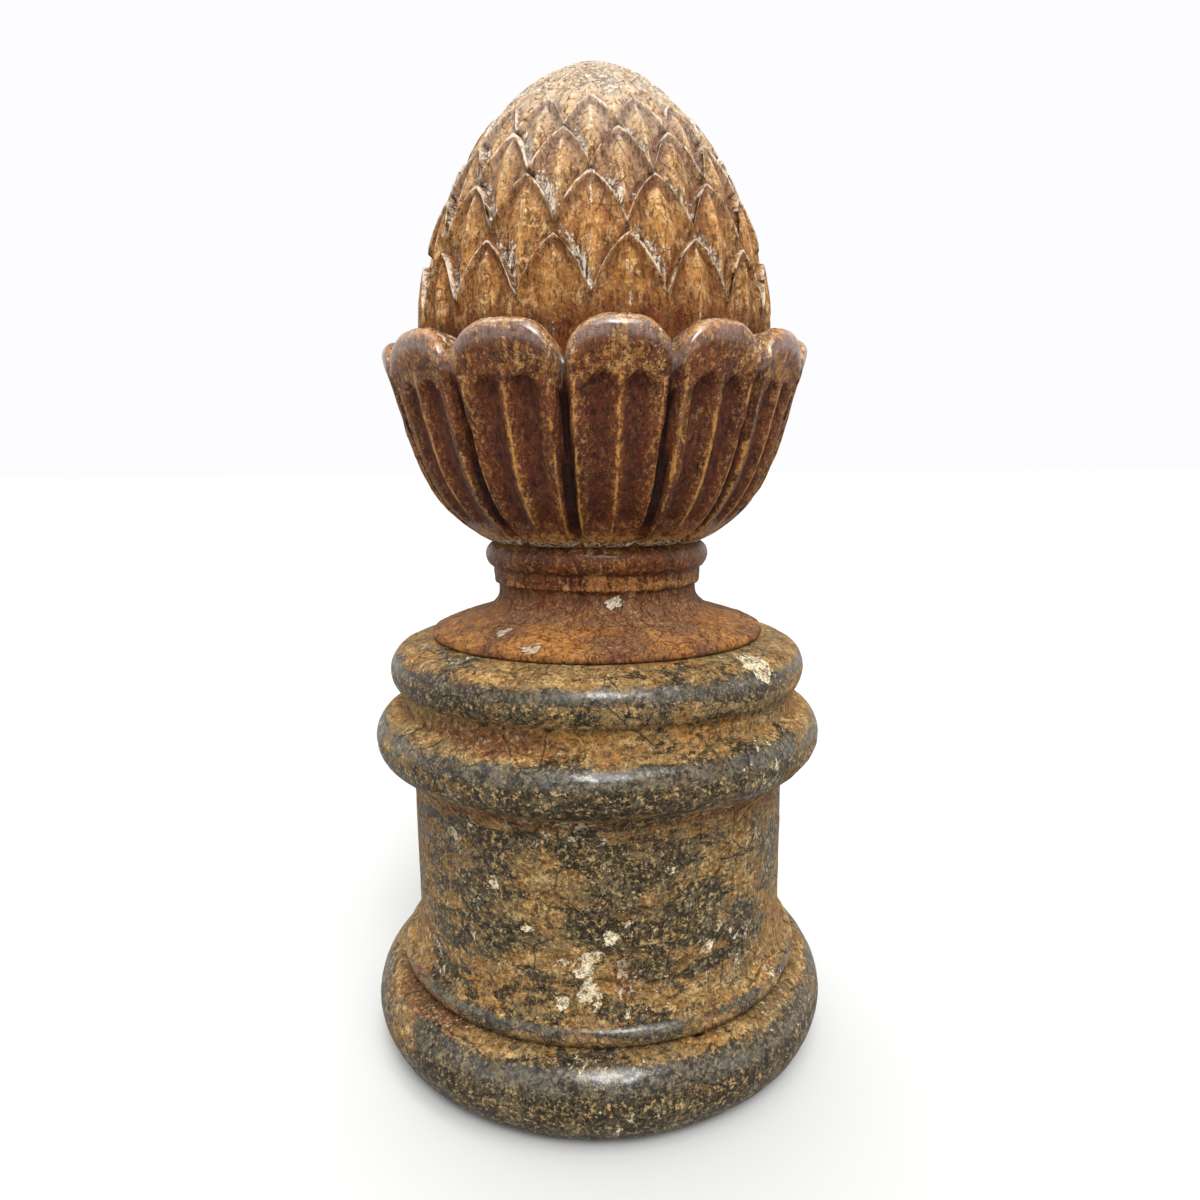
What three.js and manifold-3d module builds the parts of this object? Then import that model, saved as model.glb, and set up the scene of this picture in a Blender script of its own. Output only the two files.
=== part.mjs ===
// An artichoke finial standing on its round plinth, both of painted terracotta.
// Millimetres, +Z up, with the origin at the centre of the plinth's underside.
// The finial rests on the plinth by its own weight and lifts off.
import * as THREE from "three";
import { mergeVertices } from "three/addons/utils/BufferGeometryUtils.js";
import Module from "manifold-3d";

// Plinth, from the ground up. A roll is a half-round moulding: its radius is its outermost
// reach, and its section is the radius of the half-round itself.
const BASE_ROLL_RADIUS = 110;
const BASE_ROLL_SECTION = 20.5;
const BEAD_RADIUS = 97.3;
const BEAD_SECTION = 5.6;
const LOWER_COVE_HEIGHT = 15;
const DRUM_RADIUS = 89.3;
const DRUM_HEIGHT = 64;
const UPPER_COVE_HEIGHT = 10;
const UPPER_COVE_REACH = 6.5;
const COVE_DEPTH = 0.3;
const QUIRK = 1;
const MIDDLE_ROLL_RADIUS = 106;
const MIDDLE_ROLL_SECTION = 13.6;
const SCOTIA_HEIGHT = 11;
const SCOTIA_RADIUS = 93.2;
const TOP_ROLL_RADIUS = 98.4;
const TOP_ROLL_SECTION = 12.4;
const SHOULDER_RISE = 1.9;
const SHOULDER_MARGIN = 2;

// Finial, from its foot up.
const FOOT_RADIUS = 79;
const FOOT_EDGE = 4.4;
const FOOT_HEIGHT = 21.5;
const NECK_RADIUS = 47;
const COLLAR_HEIGHT = 10;
const COLLAR_REACH = 2;
const NECK_ROLL_RADIUS = 53;
const NECK_ROLL_SECTION = 6.6;
const CALYX_HEIGHT = 89;
const CALYX_FOOT_RADIUS = 50;
const CALYX_RADIUS = 95;
const SWELL_RATE = 5.2;
const SWELL_SHARE = 0.59;
const CONE_RADIUS = 80.5;
const CONE_HEIGHT = 118;

// Outline of the cone, a pointed egg: how late its side turns in, and how round its point is.
const CONE_FULLNESS = 1.8;
const CONE_POINT = 0.62;

// Carving of the calyx: round-tipped petals, each with two flutes and a ridge between them.
// The petals drift from an even spacing by a few degrees, so they are wider on one side.
const PETALS = 13;
const PETAL_TURN = -2.4;
const PETAL_DRIFT = 8.6;
const PETAL_DRIFT_TURN = -99.3;
const PETAL_ARCH = 13;
const PETAL_GAP_DEPTH = 9;
const PETAL_GAP_AT_FOOT = 0.3;
const LIP_RADIUS = 6;
const FLUTE_DEPTH = 3.2;

// Carving of the cone: rows of pointed bracts, each row half a bract round from the last.
// Heights are shares of the cone's height, and the steps are how far each tip stands proud.
const BRACTS = 17;
const BRACT_TURN = 10;
const TIP_SHARES = [0.241, 0.449, 0.614, 0.746];
const TIP_STEPS = [3.4, 3.1, 2.7, 1.3];
const TIP_LENGTH_SHARE = 0.205;
const TIP_TAPER = 0.4;
const TIP_UNDERCUT_SHARE = 0.004;
const KEEL = 0.8;
const WORN_TIP_SHARE = 0.94;
const WORN_POINT_SHARE = 0.985;

// Direction of the side that the photo shows, round the axis from +X.
const FRONT = -90;

// Facets round each turned or carved form.
const TURNING_FACETS = 44;
const FOOT_FACETS = 40;

const wasm = await Module();
wasm.setup();

const degrees = THREE.MathUtils.degToRad;
const mix = THREE.MathUtils.lerp;

// Points of a round moulding in the outline, from one angle above the horizontal to another.
function roll(reach, section, height, from, to, steps) {
  const curve = new THREE.EllipseCurve(reach - section, height, section, section, degrees(from), degrees(to));
  return curve.getPoints(steps);
}

// Points of a hollow moulding between two places, drawn towards a corner point.
function hollow(from, corner, to, steps) {
  return new THREE.QuadraticBezierCurve(from, corner, to).getPoints(steps);
}

const at = (radius, height) => new THREE.Vector2(radius, height);
const rise = (section, from, to) => section * (Math.sin(degrees(to)) - Math.sin(degrees(from)));

// Turns an outline of radius and height round the Z axis.
function turned(outline, facets) {
  return new THREE.LatheGeometry(outline, facets).rotateX(Math.PI / 2);
}

// Where each roll starts and is cut off, in degrees above the horizontal.
const BASE_ROLL_CUT = 64;
const BEAD_START = -58;
const BEAD_CUT = 70;
const MIDDLE_ROLL_START = -62;
const MIDDLE_ROLL_CUT = 78;
const TOP_ROLL_START = -33;
const TOP_ROLL_CUT = 78;
const NECK_ROLL_START = -65;
const NECK_ROLL_CUT = 75;

// Heights of the plinth's mouldings, each standing on the one below.
const beadFoot = BASE_ROLL_SECTION + rise(BASE_ROLL_SECTION, 0, BASE_ROLL_CUT);
const beadTop = beadFoot + rise(BEAD_SECTION, BEAD_START, BEAD_CUT);
const drumFoot = beadTop + LOWER_COVE_HEIGHT;
const drumTop = drumFoot + DRUM_HEIGHT;
const upperCoveTop = drumTop + UPPER_COVE_HEIGHT;
const middleRollTop = upperCoveTop + rise(MIDDLE_ROLL_SECTION, MIDDLE_ROLL_START, MIDDLE_ROLL_CUT);
const scotiaTop = middleRollTop + SCOTIA_HEIGHT;
const topRollTop = scotiaTop + rise(TOP_ROLL_SECTION, TOP_ROLL_START, TOP_ROLL_CUT);
const plinthHeight = topRollTop + SHOULDER_RISE;

// Outline of the plinth from the ground to its flat top.
function plinthOutline() {
  const beadCentre = beadFoot - rise(BEAD_SECTION, 0, BEAD_START);
  const bead = roll(BEAD_RADIUS, BEAD_SECTION, beadCentre, BEAD_START, BEAD_CUT, 4);
  const coveCorner = at(DRUM_RADIUS, mix(beadTop, drumFoot, COVE_DEPTH));
  const drumEdge = at(DRUM_RADIUS + QUIRK, drumTop);
  const coveEdge = at(DRUM_RADIUS + UPPER_COVE_REACH, upperCoveTop - QUIRK);
  const middleCentre = upperCoveTop - rise(MIDDLE_ROLL_SECTION, 0, MIDDLE_ROLL_START);
  const topCentre = scotiaTop - rise(TOP_ROLL_SECTION, 0, TOP_ROLL_START);
  const middleRoll = roll(
    MIDDLE_ROLL_RADIUS, MIDDLE_ROLL_SECTION, middleCentre, MIDDLE_ROLL_START, MIDDLE_ROLL_CUT, 6);
  const topRoll = roll(TOP_ROLL_RADIUS, TOP_ROLL_SECTION, topCentre, TOP_ROLL_START, TOP_ROLL_CUT, 5);
  return [
    at(0, 0),
    ...roll(BASE_ROLL_RADIUS, BASE_ROLL_SECTION, BASE_ROLL_SECTION, -90, BASE_ROLL_CUT, 7),
    ...bead,
    ...hollow(bead[bead.length - 1], coveCorner, at(DRUM_RADIUS, drumFoot), 3).slice(1),
    at(DRUM_RADIUS, drumTop),
    drumEdge,
    ...hollow(drumEdge, at(drumEdge.x + QUIRK, mix(drumEdge.y, coveEdge.y, 0.5)), coveEdge, 2).slice(1),
    ...middleRoll,
    at(SCOTIA_RADIUS + QUIRK, middleRollTop),
    at(SCOTIA_RADIUS, mix(middleRollTop, scotiaTop, COVE_DEPTH)),
    at(SCOTIA_RADIUS, scotiaTop - QUIRK / 2),
    ...topRoll,
    at(FOOT_RADIUS + SHOULDER_MARGIN, plinthHeight),
    at(0, plinthHeight),
  ];
}

// Heights up the finial, each part standing on the one below.
const footTop = plinthHeight + FOOT_HEIGHT;
const collarTop = footTop + COLLAR_HEIGHT;
const calyxFoot = collarTop + 2 * NECK_ROLL_SECTION;
const calyxTop = calyxFoot + CALYX_HEIGHT;
const coneFoot = calyxTop + LIP_RADIUS / 2;

// Outline of the trumpet foot, the neck's collar and its roll, shut inside the calyx.
function footOutline() {
  const inside = mix(calyxFoot, calyxTop, 1 / 4);
  const waist = mix(plinthHeight, footTop, 1 / 2);
  const collarFoot = mix(footTop, collarTop, 1 / 3);
  const neckRollCentre = collarTop + NECK_ROLL_SECTION;
  return [
    at(0, plinthHeight),
    at(FOOT_RADIUS - FOOT_EDGE / 2, plinthHeight),
    at(FOOT_RADIUS, plinthHeight + FOOT_EDGE / 2),
    ...new THREE.CubicBezierCurve(
      at(FOOT_RADIUS - FOOT_EDGE / 2, plinthHeight + FOOT_EDGE),
      at(mix(NECK_RADIUS, FOOT_RADIUS, 1 / 2), waist),
      at(NECK_RADIUS, waist),
      at(NECK_RADIUS, footTop)).getPoints(6),
    at(NECK_RADIUS, collarFoot),
    at(NECK_RADIUS + COLLAR_REACH, collarFoot + QUIRK),
    at(NECK_RADIUS + COLLAR_REACH, collarTop - QUIRK),
    ...roll(NECK_ROLL_RADIUS, NECK_ROLL_SECTION, neckRollCentre, NECK_ROLL_START, NECK_ROLL_CUT, 4),
    at(CALYX_FOOT_RADIUS, calyxFoot),
    at(CALYX_FOOT_RADIUS, inside),
    at(0, inside),
  ];
}

// Wraps a closed skin round the Z axis from rings of points, bottom first, and shuts each end on the axis.
function skin(rings) {
  const columns = rings[0].length;
  const last = rings.length - 1;
  const centre = (ring) => new THREE.Vector3(0, 0, ring.reduce((sum, p) => sum + p.z, 0) / columns);
  const points = [...rings.flat(), centre(rings[0]), centre(rings[last])];
  const [bottom, top] = [points.length - 2, points.length - 1];
  const faces = [];
  for (let j = 0; j < columns; j += 1) {
    const next = (j + 1) % columns;
    faces.push(bottom, next, j);
    faces.push(top, last * columns + j, last * columns + next);
    for (let i = 0; i < last; i += 1) {
      const [a, b] = [i * columns + j, i * columns + next];
      faces.push(a, b, b + columns, a, b + columns, a + columns);
    }
  }
  return new THREE.BufferGeometry().setFromPoints(points).setIndex(faces);
}

// A point at an angle round the axis, a radius out and a height up.
function around(angle, radius, height) {
  return new THREE.Vector3(radius * Math.cos(angle), radius * Math.sin(angle), height);
}

// Columns across one petal: its side from the middle of it to the gap, and what each column is part of.
const PETAL_COLUMNS = [
  { side: -1, gap: 1, flute: 0 },
  { side: -0.88, gap: 0.6, flute: 0 },
  { side: -0.7, gap: 0, flute: 0 },
  { side: -0.36, gap: 0, flute: 1 },
  { side: 0, gap: 0, flute: 0 },
  { side: 0.36, gap: 0, flute: 1 },
  { side: 0.7, gap: 0, flute: 0 },
  { side: 0.88, gap: 0.6, flute: 0 },
];

// Angle round the axis of a place counted in petals from the front one.
function petalAngle(place) {
  const even = (place * 360) / PETALS + PETAL_TURN;
  return degrees(even + PETAL_DRIFT * Math.sin(degrees(even - PETAL_DRIFT_TURN)) + FRONT);
}

// Radius of a petal's face at a share of the way up the calyx: a bowl that swells fast, then stands up.
function bowlRadius(share) {
  const swell = (1 - Math.exp(-SWELL_RATE * share)) / (1 - Math.exp(-SWELL_RATE));
  return mix(CALYX_FOOT_RADIUS, CALYX_RADIUS, mix(share, swell, SWELL_SHARE));
}

// The calyx as a closed solid: petal faces, rounded lips, and a top that runs in under the cone.
function calyx() {
  const faceShares = [0, 0.06, 0.15, 0.3, 0.5, 0.7, 0.88, 1];
  const fluteShares = [0, 0, 0.8, 1, 1, 0.8, 0, 0];
  const lipAngles = [40, 75];
  const columns = [];
  for (let petal = 0; petal < PETALS; petal += 1) {
    PETAL_COLUMNS.forEach((column) => {
      columns.push({ ...column, angle: petalAngle(petal + column.side / 2) });
    });
  }
  const rings = faceShares.map((share, row) => columns.map(({ angle, side, gap, flute }) => {
    const top = calyxTop - LIP_RADIUS - PETAL_ARCH * Math.abs(side) ** 3;
    const gapDepth = gap * PETAL_GAP_DEPTH * Math.min(1, PETAL_GAP_AT_FOOT + share);
    const radius = bowlRadius(share) - gapDepth - flute * FLUTE_DEPTH * fluteShares[row];
    return around(angle, radius, mix(calyxFoot, top, share));
  }));
  const lip = rings[rings.length - 1];
  lipAngles.forEach((bend) => {
    const [drop, lift] = [1 - Math.cos(degrees(bend)), Math.sin(degrees(bend))];
    rings.push(lip.map((point, j) => {
      const radius = Math.hypot(point.x, point.y) - LIP_RADIUS * drop;
      return around(columns[j].angle, radius, point.z + LIP_RADIUS * lift);
    }));
  });
  rings.push(lip.map((point, j) => around(
    columns[j].angle, CONE_RADIUS - PETAL_GAP_DEPTH / 2, point.z + LIP_RADIUS + PETAL_GAP_DEPTH / 3)));
  return skin(rings);
}

// Radius of the cone's outline at a share of its height.
const coneRadius = (share) => CONE_RADIUS * (1 - share ** CONE_FULLNESS) ** CONE_POINT;

// Columns across one bract: tip, flank, gap and flank, and how high up the pointed arch each lies.
const BRACT_COLUMNS = [1, 0.62, 0, 0.62];

// The cone as a closed solid: each row of bracts ends in a zigzag step, and the next row starts inside it.
function cone() {
  const columns = BRACTS * BRACT_COLUMNS.length;
  const edge = (row, j) => {
    const half = (row % 2) * 2;
    const arch = BRACT_COLUMNS[(j + half) % BRACT_COLUMNS.length];
    return TIP_SHARES[row] - TIP_LENGTH_SHARE * (1 - TIP_TAPER * TIP_SHARES[row]) * (1 - arch);
  };
  const ring = (shareAt, radiusAt) => Array.from({ length: columns }, (_, j) => {
    const angle = degrees((j * 360) / columns + BRACT_TURN + FRONT);
    const share = shareAt(j);
    return around(angle, radiusAt(share, j), coneFoot + share * CONE_HEIGHT);
  });
  const buried = -1 / 4;
  const rings = [ring(() => buried, () => CONE_RADIUS - TIP_STEPS[0])];
  rings.push(ring(() => 0, () => CONE_RADIUS - KEEL));
  TIP_SHARES.forEach((_, row) => {
    const above = row + 1 < TIP_SHARES.length ? (j) => edge(row + 1, j) : () => WORN_TIP_SHARE;
    const isKeel = (j) => (j + ((row + 1) % 2) * 2) % BRACT_COLUMNS.length === 0;
    rings.push(ring((j) => edge(row, j), (share) => coneRadius(share)));
    rings.push(ring((j) => edge(row, j) + TIP_UNDERCUT_SHARE, (share) => coneRadius(share) - TIP_STEPS[row]));
    rings.push(ring(
      (j) => mix(edge(row, j), above(j), 1 / 2),
      (share, j) => coneRadius(share) - TIP_STEPS[row] / 2 + (isKeel(j) ? KEEL : 0)));
  });
  rings.push(ring(() => WORN_TIP_SHARE, (share) => coneRadius(share)));
  rings.push(ring(() => WORN_POINT_SHARE, (share) => coneRadius(share)));
  const skinned = skin(rings);
  const tip = skinned.attributes.position.count - 1;
  skinned.attributes.position.setZ(tip, coneFoot + CONE_HEIGHT);
  return skinned;
}

// A geometry's closed solid, with its shared corners merged.
function solidOf(geometry) {
  const bare = geometry.clone();
  ["normal", "uv"].forEach((name) => bare.deleteAttribute(name));
  const merged = mergeVertices(bare, 1e-3);
  return new wasm.Manifold(new wasm.Mesh({
    numProp: 3,
    vertProperties: merged.attributes.position.array,
    triVerts: new Uint32Array(merged.index.array),
  }));
}

// Joins closed geometries into one.
function joined(...geometries) {
  const whole = geometries.map(solidOf).reduce((sum, more) => sum.add(more));
  const { vertProperties, triVerts } = whole.getMesh();
  return new THREE.BufferGeometry()
    .setAttribute("position", new THREE.BufferAttribute(vertProperties, 3))
    .setIndex(new THREE.BufferAttribute(triVerts, 1));
}

// One piece of the object: its name, form and finish.
function piece(name, geometry, finish) {
  const mesh = new THREE.Mesh(geometry, new THREE.MeshStandardMaterial({ metalness: 0, ...finish }));
  mesh.name = name;
  return mesh;
}

const finial = new THREE.Group();
finial.add(
  piece("round_plinth", turned(plinthOutline(), TURNING_FACETS), { color: "#5d5138", roughness: 0.6 }),
  piece(
    "artichoke_finial",
    joined(turned(footOutline(), FOOT_FACETS), calyx(), cone()),
    { color: "#8a6334", roughness: 0.65 }),
);

export default finial;
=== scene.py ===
"""Artichoke finial of painted terracotta on its round plinth, with its finishes, light and camera.

The plinth is a turned outline carried round the upright axis. The finial is one piece made of
three skins that run into each other: the turned foot and neck, the cup of fluted petals and the
cone of pointed bracts. Lengths are in millimetres until a mesh is made, and in metres after.
Angles round the axis start at the side that faces the camera.
"""

import logging
import math
from collections.abc import Sequence
from dataclasses import dataclass, field
from enum import Enum
from typing import Any

import bpy
import numpy as np
from mathutils import Euler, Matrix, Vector


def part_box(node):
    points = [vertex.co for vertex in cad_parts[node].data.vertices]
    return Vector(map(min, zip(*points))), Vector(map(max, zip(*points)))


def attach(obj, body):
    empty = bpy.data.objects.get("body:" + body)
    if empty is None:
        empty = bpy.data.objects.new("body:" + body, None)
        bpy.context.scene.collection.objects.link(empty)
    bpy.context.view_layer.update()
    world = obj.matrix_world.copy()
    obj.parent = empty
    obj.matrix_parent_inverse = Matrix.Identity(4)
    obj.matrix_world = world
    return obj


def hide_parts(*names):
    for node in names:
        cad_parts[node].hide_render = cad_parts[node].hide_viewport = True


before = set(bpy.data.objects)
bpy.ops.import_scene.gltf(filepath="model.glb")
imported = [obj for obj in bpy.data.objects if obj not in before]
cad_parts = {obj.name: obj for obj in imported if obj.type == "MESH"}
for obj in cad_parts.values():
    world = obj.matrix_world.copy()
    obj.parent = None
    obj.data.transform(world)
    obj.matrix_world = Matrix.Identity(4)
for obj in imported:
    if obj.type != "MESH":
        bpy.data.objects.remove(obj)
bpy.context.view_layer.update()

log = logging.getLogger("finial")
MM = 0.001
AXIS = 1.0  # a hair off the axis, where a turned outline starts and ends
HIDDEN = 8.0  # how many times longer steps may be where nothing shows
MIDDLE = 0.5  # what cloudy noise swings about
ARC_STEP = 5.0  # degrees between points on a round moulding
CURVE_POINTS = 14  # points on a hollow one
SOFTENED = 5  # points over which one stretch's wear runs into the next's
RAGGED, RAGGED_SIZE, RAGGED_SEED = 0.7, 4.5, 61  # the lumps that break up a chip's edge
FLAT_EDGE = 2.0  # how far from a flat bearing face wear starts, in millimetres
TURN = 2 * math.pi
FRONT = -math.pi / 2
Array = np.ndarray
Marks = dict[str, Array]
Colour = tuple[float, float, float, float]
Span = tuple[float, float]


def colour(text: str) -> Colour:
    """Turns a web colour into the linear one that shaders use.

    Args:
        text: The colour as "#rrggbb".

    Returns:
        Red, green, blue and full alpha, by the usual screen curve.
    """
    parts = [int(text[i : i + 2], 16) / 255 for i in (1, 3, 5)]
    linear = [c / 12.92 if c <= 0.04045 else ((c + 0.055) / 1.055) ** 2.4 for c in parts]
    return (*linear, 1.0)


def blend(low: Any, high: Any, share: Any) -> Any:
    """Gives low at share 0, high at share 1 and the straight line between them."""
    return low + (high - low) * share


def ease(low: float, high: float, value: Array) -> Array:
    """Climbs from 0 at low to 1 at high along 3t^2 - 2t^3, and stays flat outside."""
    t = np.clip((value - low) / (high - low), 0, 1)
    return t * t * (3 - 2 * t)


def bump(value: Array, width: float) -> Array:
    """Gives a bell, exp(-(value / width)^2): 1 at value 0, and near 0 past two widths."""
    return np.exp(-((value / width) ** 2))


def corner_values(corners: Array, seed: int) -> Array:
    """Gives each whole-number corner of space a number of its own.

    Args:
        corners: Whole numbers, three to a row.
        seed: Which set of numbers to use.

    Returns:
        -1 to 1: the corner's coordinates, multiplied and folded together.
    """
    x, y, z = np.moveaxis(corners.astype(np.int64).astype(np.uint32), -1, 0)
    mixed = x * np.uint32(374761393) + y * np.uint32(668265263) + z * np.uint32(2246822519)
    mixed = mixed + np.uint32(seed * 3266489 + 97)
    mixed = (mixed ^ (mixed >> np.uint32(13))) * np.uint32(1274126177)
    mixed = mixed ^ (mixed >> np.uint32(16))
    return mixed / 2.0**31 - 1


def lumps(points: Array, size: float, seed: int, octaves: int = 3) -> Array:
    """Gives soft lumps in space.

    Args:
        points: Places, three numbers to a row.
        size: The distance between lumps, in the same unit.
        seed: Which set of lumps to use.
        octaves: How many sets there are, each half as large and as strong as the last.

    Returns:
        About -1 to 1: corner numbers, eased together along each axis and summed.
    """
    total = np.zeros(points.shape[:-1])
    for octave in range(octaves):
        place = points * (2**octave / size) + 17.3 * octave
        cell = np.floor(place)
        t = place - cell
        t = t * t * (3 - 2 * t)
        value = np.zeros(points.shape[:-1])
        for dx in (0, 1):
            for dy in (0, 1):
                for dz in (0, 1):
                    step = np.array((dx, dy, dz))
                    weight = np.prod(np.where(step == 1, t, 1 - t), axis=-1)
                    value += weight * corner_values(cell + step, seed + octave)
        total += value / 2**octave
    return total


@dataclass
class Skin:
    """A closed skin of rings round the upright axis, with marks that its finish reads."""

    points: Array  # in millimetres: rings from the bottom up, columns round the axis, 3
    marks: Marks  # named numbers from 0 to 1 for each point

    @classmethod
    def from_polar(cls, angle: Array, radius: Array, height: Array, marks: Marks) -> "Skin":
        """Makes a skin whose points are (radius cos angle, radius sin angle, height).

        Args:
            angle: Radians round the axis.
            radius: Distance from the axis.
            height: Height above the ground.
            marks: Named numbers. All of these are grids, or spread to one.

        Returns:
            The skin.
        """
        angle, radius, height = np.broadcast_arrays(angle, radius, height)
        points = np.stack((radius * np.cos(angle), radius * np.sin(angle), height), axis=-1)
        spread = {name: np.broadcast_to(mark, radius.shape).copy() for name, mark in marks.items()}
        return cls(points, spread)

    def normals(self) -> Array:
        """Gives the outward direction at each point.

        Returns:
            The direction round the axis crossed with the one up the skin, of length 1.
        """
        around = np.roll(self.points, -1, axis=1) - np.roll(self.points, 1, axis=1)
        along = np.gradient(self.points, axis=0)
        normal = np.cross(around, along)
        return normal / np.maximum(np.linalg.norm(normal, axis=-1, keepdims=True), 1e-9)

    def apart(self, turn: float) -> Array:
        """Gives each point's angle in radians from turn, in degrees right of the front."""
        angle = np.arctan2(self.points[..., 1], self.points[..., 0]) - FRONT - math.radians(turn)
        return (angle + math.pi) % TURN - math.pi

    def push(self, depth: Array) -> None:
        """Moves each point out along its normal by a depth in millimetres."""
        self.points = self.points + self.normals() * depth[..., None]

    def faces(self, first: int) -> list[Array]:
        """Gives faces between rings, and triangles that shut each end on the axis.

        Args:
            first: The number of the skin's first vertex.

        Returns:
            The walls, the floor and the roof.
        """
        rings, columns = self.points.shape[:2]
        number = first + np.arange(rings * columns).reshape(rings, columns)
        beside = np.roll(number, -1, axis=1)
        walls = np.stack((number[:-1], beside[:-1], beside[1:], number[1:]), axis=-1).reshape(-1, 4)
        bottom = np.full(columns, first + rings * columns)
        floor = np.stack((bottom, beside[0], number[0]), axis=-1)
        roof = np.stack((bottom + 1, number[-1], beside[-1]), axis=-1)
        return [walls, floor, roof]

    def vertices(self) -> Array:
        """Gives every point as a row of three, then the two ends on the axis."""
        ends = [(0, 0, self.points[i, :, 2].mean()) for i in (0, -1)]
        return np.concatenate((self.points.reshape(-1, 3), ends))


def stacked(parts: Sequence[Any], rows: Sequence[int], columns: int) -> Array:
    """Lays grids, or what spreads to one, above each other, as many rows of each as rows says."""
    return np.concatenate([np.broadcast_to(part, (n, columns)) for part, n in zip(parts, rows)])


def make_piece(name: str, skins: Sequence[Skin], finish: "Finish") -> bpy.types.Object:
    """Makes one mesh object from closed skins, at the origin, with its place in its mesh.

    Args:
        name: The object's name.
        skins: The skins, in millimetres.
        finish: The finish that dresses it.

    Returns:
        The new object.
    """
    starts = np.cumsum([0] + [len(skin.vertices()) for skin in skins])
    faces = [part for skin, start in zip(skins, starts) for part in skin.faces(int(start))]
    mesh = bpy.data.meshes.new(name)
    places = np.concatenate([skin.vertices() for skin in skins]) * MM
    mesh.from_pydata(places, [], [tuple(face) for part in faces for face in part.tolist()])
    for mark in skins[0].marks:
        ends = np.zeros(2)
        values = np.concatenate([np.append(skin.marks[mark].ravel(), ends) for skin in skins])
        layer = mesh.attributes.new(mark, "FLOAT", "POINT")
        layer.data.foreach_set("value", values.astype(np.float32))
    mesh.polygons.foreach_set("use_smooth", np.ones(len(mesh.polygons), dtype=bool))
    mesh.materials.append(finish.material())
    mesh.validate()
    mesh.update()
    piece = bpy.data.objects.new(name, mesh)
    bpy.context.scene.collection.objects.link(piece)
    return piece


@dataclass(frozen=True)
class Moulding:
    """One stretch of a turned outline and how it has worn, each mark from 0 to 1."""

    path: Array  # radius and height in millimetres, one pair to a row
    paint: float  # how much of the dark top coat is left
    # The hollow mark is painted shade as well as dust: hollows, creases and undersides are coloured
    # darker.
    hollow: float = 0.0  # how much dust and shade it gathers
    # Gloss also sets where a painted sheen or highlight is laid in the colour.
    gloss: float = 0.0  # how far hands and weather have polished it
    coarse: float = 1.0  # how many times longer its steps may be

    def filled(self, step: float) -> Array:
        """Fills the path with points.

        Args:
            step: The longest distance between two points, before coarse stretches it.

        Returns:
            Points in even steps along each straight part, so that corners are kept.
        """
        lengths = np.linalg.norm(np.diff(self.path, axis=0), axis=1) / self.coarse
        counts = np.maximum(1, np.ceil(lengths / step)).astype(int)
        ends = zip(self.path[:-1], self.path[1:], counts)
        return np.concatenate([blend(a, b, np.arange(n)[:, None] / n) for a, b, n in ends])


@dataclass(frozen=True)
class Roll:
    """A round moulding: an arc of a circle in the outline, in millimetres and degrees."""

    reach: float  # its outermost radius
    section: float  # the arc's own radius
    start: float  # in degrees above the horizontal
    end: float

    def rise(self, low: float, high: float) -> float:
        """Gives the climb between two angles: section times (sin high - sin low)."""
        return self.section * (math.sin(math.radians(high)) - math.sin(math.radians(low)))

    def arc(self, centre: float, start: float, end: float) -> Array:
        """Gives a part of the arc.

        Args:
            centre: The height of the arc's centre.
            start: Where the part starts, in degrees.
            end: Where it ends.

        Returns:
            Radius and height pairs: the section's cosine and sine round the centre.
        """
        angles = np.radians(np.linspace(start, end, max(4, int(abs(end - start) / ARC_STEP))))
        radius = self.reach - self.section + self.section * np.cos(angles)
        return np.stack((radius, centre + self.section * np.sin(angles)), axis=-1)

    def worn(self, centre: float, *zones: tuple[float, ...]) -> list[Moulding]:
        """Splits the roll into stretches that have worn differently.

        Args:
            centre: The height of the arc's centre.
            zones: Where each stretch ends, in degrees, then its paint, hollow and gloss.

        Returns:
            The stretches from the roll's start up.
        """
        starts = (self.start, *(zone[0] for zone in zones))
        return [Moulding(self.arc(centre, a, zone[0]), *zone[1:]) for a, zone in zip(starts, zones)]


def line(*corners: tuple[float, float]) -> Array:
    """Gives a straight or bent path through corners, each a radius and a height."""
    return np.array(corners, float)


def hollow_curve(*corners: tuple[float, float]) -> Array:
    """Gives a Bezier curve.

    Args:
        corners: Radius and height pairs: its two ends, and those between, which pull it.

    Returns:
        Points along it: the corners blended pair by pair until one is left.
    """
    t = np.linspace(0, 1, CURVE_POINTS)[:, None]
    points = [np.broadcast_to(np.array(c, float), (CURVE_POINTS, 2)) for c in corners]
    while len(points) > 1:
        points = [blend(a, b, t) for a, b in zip(points, points[1:])]
    return points[0]


def turned(mouldings: Sequence[Moulding], columns: int, step: float) -> Skin:
    """Carries an outline round the axis.

    Args:
        mouldings: The outline's stretches, from the bottom up.
        columns: How many points go round.
        step: The longest distance between points along the outline.

    Returns:
        A skin with the marks paint, hollow, gloss, rim and bare.
    """
    runs = [moulding.filled(step) for moulding in mouldings]
    outline = np.concatenate([*runs, mouldings[-1].path[-1:]])
    spread = [len(run) for run in runs]
    spread[-1] += 1
    soft = np.ones(SOFTENED) / SOFTENED
    marks = {"rim": 0.0, "bare": 0.0}
    for name in ("paint", "hollow", "gloss"):
        along = np.repeat([getattr(moulding, name) for moulding in mouldings], spread)
        padded = np.pad(along, SOFTENED // 2, mode="edge")
        marks[name] = np.convolve(padded, soft, mode="valid")[:, None]
    angle = np.arange(columns) * TURN / columns + FRONT
    return Skin.from_polar(angle[None, :], outline[:, :1], outline[:, 1:], marks)


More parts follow.
